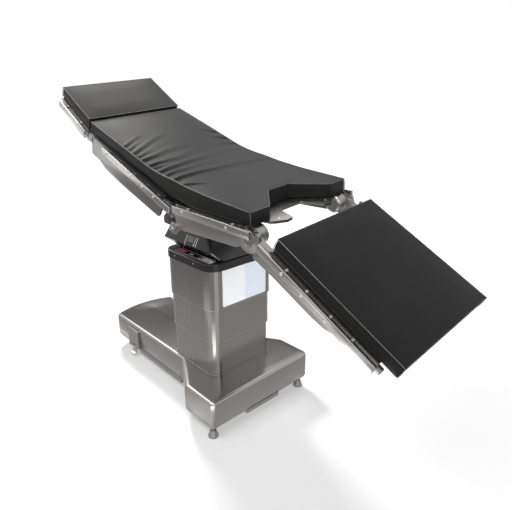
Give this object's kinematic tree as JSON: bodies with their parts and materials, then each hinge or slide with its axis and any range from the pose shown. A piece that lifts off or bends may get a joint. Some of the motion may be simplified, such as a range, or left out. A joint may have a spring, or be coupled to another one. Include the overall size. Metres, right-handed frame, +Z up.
{
  "type": "operating table",
  "caption": "Mobile operating table: T-shaped base, telescopic column, tilting head, and a padded top with jointed head, back, seat and leg sections and side rails.",
  "frame": {"origin": "on the floor, under the centre of the whole table's bounding box in the stored pose", "axes": "+Z up, +X towards the leg end, -Y the side with the keypad and latch plate"},
  "size_m": [1.9361, 0.6396, 1.4991],
  "materials": {
    "base_steel": "brushed",
    "chassis": "satin",
    "foot_rubber": "matt",
    "castor_fork": "zinc plated",
    "castor_tyre": "matt",
    "latch_steel": "brushed",
    "lever_steel": "satin",
    "shroud_steel": "brushed",
    "lift_cylinder": "satin",
    "lift_ram": "polished",
    "cap_plastic": "satin",
    "panel_film": "satin",
    "key_red": "satin",
    "key_pale": "satin",
    "lamp": "polished",
    "head_casting": "blasted",
    "boot_rubber": "satin",
    "frame_casting": "satin",
    "rail_steel": "ground",
    "drum_casting": "satin",
    "drum_enamel": "satin",
    "plate_steel": "brushed",
    "top_laminate": "satin",
    "pad_vinyl": "satin"
  },
  "bodies": {
    "base": {"base_shell": "base_steel", "base_chassis": "chassis", "latch_plate": "latch_steel", "lower_shroud": "shroud_steel", "lift_cylinder": "lift_cylinder"},
    "lever": {"release_lever": "lever_steel"},
    "foot_leg_near": {"floor_foot_leg_near": "foot_rubber"},
    "foot_leg_far": {"floor_foot_leg_far": "foot_rubber"},
    "foot_head_near": {"floor_foot_head_near": "foot_rubber"},
    "foot_head_far": {"floor_foot_head_far": "foot_rubber"},
    "castor_leg_near": {"castor_leg_near_fork": "castor_fork"},
    "wheel_leg_near": {"castor_leg_near_wheel": "castor_tyre"},
    "castor_leg_far": {"castor_leg_far_fork": "castor_fork"},
    "wheel_leg_far": {"castor_leg_far_wheel": "castor_tyre"},
    "castor_head_near": {"castor_head_near_fork": "castor_fork"},
    "wheel_head_near": {"castor_head_near_wheel": "castor_tyre"},
    "castor_head_far": {"castor_head_far_fork": "castor_fork"},
    "wheel_head_far": {"castor_head_far_wheel": "castor_tyre"},
    "mid_stage": {"middle_shroud": "shroud_steel"},
    "lift_stage": {"top_shroud": "shroud_steel", "lift_ram": "lift_ram", "column_cap": "cap_plastic", "keypad_panel": "panel_film", "indicator_lamp": "lamp", "column_head": "head_casting", "saddle_boot": "boot_rubber"},
    "button_1": {"key_1": "key_red"},
    "button_2": {"key_2": "key_pale"},
    "button_3": {"key_3": "key_pale"},
    "button_4": {"key_4": "key_pale"},
    "cradle": {"tilt_cradle": "head_casting"},
    "seat": {"tilt_carriage": "head_casting", "seat_beam_near": "frame_casting", "seat_beam_far": "frame_casting", "seat_rail_near": "rail_steel", "seat_rail_far": "rail_steel", "leg_drum_near": "drum_casting", "leg_drum_far": "drum_casting", "back_drum_near": "drum_enamel", "back_drum_far": "drum_enamel", "seat_plate": "plate_steel", "seat_pad": "pad_vinyl", "pad_bend": "pad_vinyl"},
    "back": {"back_side_near": "frame_casting", "back_side_far": "frame_casting", "back_rail_near": "rail_steel", "back_rail_far": "rail_steel", "back_plate": "top_laminate", "back_pad": "pad_vinyl"},
    "head": {"head_frame": "frame_casting", "head_rail_near": "rail_steel", "head_rail_far": "rail_steel", "head_pad": "pad_vinyl"},
    "leg": {"leg_arm_near": "frame_casting", "leg_arm_far": "frame_casting", "leg_rail_near": "rail_steel", "leg_rail_far": "rail_steel", "leg_plate": "plate_steel", "leg_pad": "pad_vinyl"}
  },
  "joints": [
    {"name": "column_lift", "type": "slide", "parent": "base", "child": "lift_stage", "axis": [0, 0, 1], "range_m": [-0.315, 0.02]},
    {"name": "middle_shroud_slide", "type": "slide", "parent": "base", "child": "mid_stage", "axis": [0, 0, 1], "range_m": [-0.1575, 0.01]},
    {"name": "trendelenburg_pitch", "type": "hinge", "parent": "lift_stage", "child": "cradle", "pos_m": [-0.1125, 0.0158, 0.8], "axis": [0, 1, 0], "range_deg": [-26.75, 23.25]},
    {"name": "lateral_tilt", "type": "hinge", "parent": "cradle", "child": "seat", "pos_m": [-0.11006, 0.0158, 0.87996], "axis": [0.9995, 0, -0.0305], "range_deg": [-23.83, 12.17]},
    {"name": "back_hinge", "type": "hinge", "parent": "seat", "child": "back", "pos_m": [-0.09917, 0.00615, 0.97418], "axis": [-0.0031, -0.9948, -0.1015], "range_deg": [-60, 60], "deforming": ["pad_bend"]},
    {"name": "head_hinge", "type": "hinge", "parent": "back", "child": "head", "pos_m": [-0.70222, -0.01897, 1.23878], "axis": [0.0031, 0.9948, 0.1015], "range_deg": [-60, 9]},
    {"name": "leg_hinge", "type": "hinge", "parent": "seat", "child": "leg", "pos_m": [0.38091, 0.00513, 0.96947], "axis": [-0.0031, -0.9948, -0.1015], "range_deg": [-61, 29]},
    {"name": "floor_lock", "type": "slide", "parent": "base", "child": "foot_leg_near", "axis": [0, 0, 1], "range_m": [0, 0.012]},
    {"name": "floor_lock_leg_far", "type": "slide", "parent": "base", "child": "foot_leg_far", "axis": [0, 0, 1], "range_m": [0, 0.012]},
    {"name": "floor_lock_head_near", "type": "slide", "parent": "base", "child": "foot_head_near", "axis": [0, 0, 1], "range_m": [0, 0.012]},
    {"name": "floor_lock_head_far", "type": "slide", "parent": "base", "child": "foot_head_far", "axis": [0, 0, 1], "range_m": [0, 0.012]},
    {"name": "castor_leg_near_swivel", "type": "hinge", "parent": "base", "child": "castor_leg_near", "pos_m": [-0.0275, -0.0942, 0.1], "axis": [0, 0, 1], "continuous": true},
    {"name": "castor_leg_near_roll", "type": "hinge", "parent": "castor_leg_near", "child": "wheel_leg_near", "pos_m": [-0.0495, -0.0942, 0.0405], "axis": [0, 1, 0], "continuous": true},
    {"name": "castor_leg_far_swivel", "type": "hinge", "parent": "base", "child": "castor_leg_far", "pos_m": [-0.0275, 0.1258, 0.1], "axis": [0, 0, 1], "continuous": true},
    {"name": "castor_leg_far_roll", "type": "hinge", "parent": "castor_leg_far", "child": "wheel_leg_far", "pos_m": [-0.0495, 0.1258, 0.0405], "axis": [0, 1, 0], "continuous": true},
    {"name": "castor_head_near_swivel", "type": "hinge", "parent": "base", "child": "castor_head_near", "pos_m": [-0.7125, -0.0692, 0.1], "axis": [0, 0, 1], "continuous": true},
    {"name": "castor_head_near_roll", "type": "hinge", "parent": "castor_head_near", "child": "wheel_head_near", "pos_m": [-0.7345, -0.0692, 0.0405], "axis": [0, 1, 0], "continuous": true},
    {"name": "castor_head_far_swivel", "type": "hinge", "parent": "base", "child": "castor_head_far", "pos_m": [-0.7125, 0.1008, 0.1], "axis": [0, 0, 1], "continuous": true},
    {"name": "castor_head_far_roll", "type": "hinge", "parent": "castor_head_far", "child": "wheel_head_far", "pos_m": [-0.7345, 0.1008, 0.0405], "axis": [0, 1, 0], "continuous": true},
    {"name": "release_lever_swing", "type": "hinge", "parent": "base", "child": "lever", "pos_m": [-0.6575, -0.1745, 0.064], "axis": [-1, 0, 0], "range_deg": [0, 20], "stiffness_Nm_per_rad": 0.4},
    {"name": "key_1_press", "type": "slide", "parent": "lift_stage", "child": "button_1", "axis": [0, 0, -1], "range_m": [0, 0.0015], "stiffness_N_per_m": 400},
    {"name": "key_2_press", "type": "slide", "parent": "lift_stage", "child": "button_2", "axis": [0, 0, -1], "range_m": [0, 0.0015], "stiffness_N_per_m": 400},
    {"name": "key_3_press", "type": "slide", "parent": "lift_stage", "child": "button_3", "axis": [0, 0, -1], "range_m": [0, 0.0015], "stiffness_N_per_m": 400},
    {"name": "key_4_press", "type": "slide", "parent": "lift_stage", "child": "button_4", "axis": [0, 0, -1], "range_m": [0, 0.0015], "stiffness_N_per_m": 400}
  ],
  "couplings": [
    {"joint": "middle_shroud_slide", "follows": "column_lift", "ratio": 0.5},
    {"joint": "floor_lock_leg_far", "follows": "floor_lock", "ratio": 1},
    {"joint": "floor_lock_head_near", "follows": "floor_lock", "ratio": 1},
    {"joint": "floor_lock_head_far", "follows": "floor_lock", "ratio": 1}
  ]
}
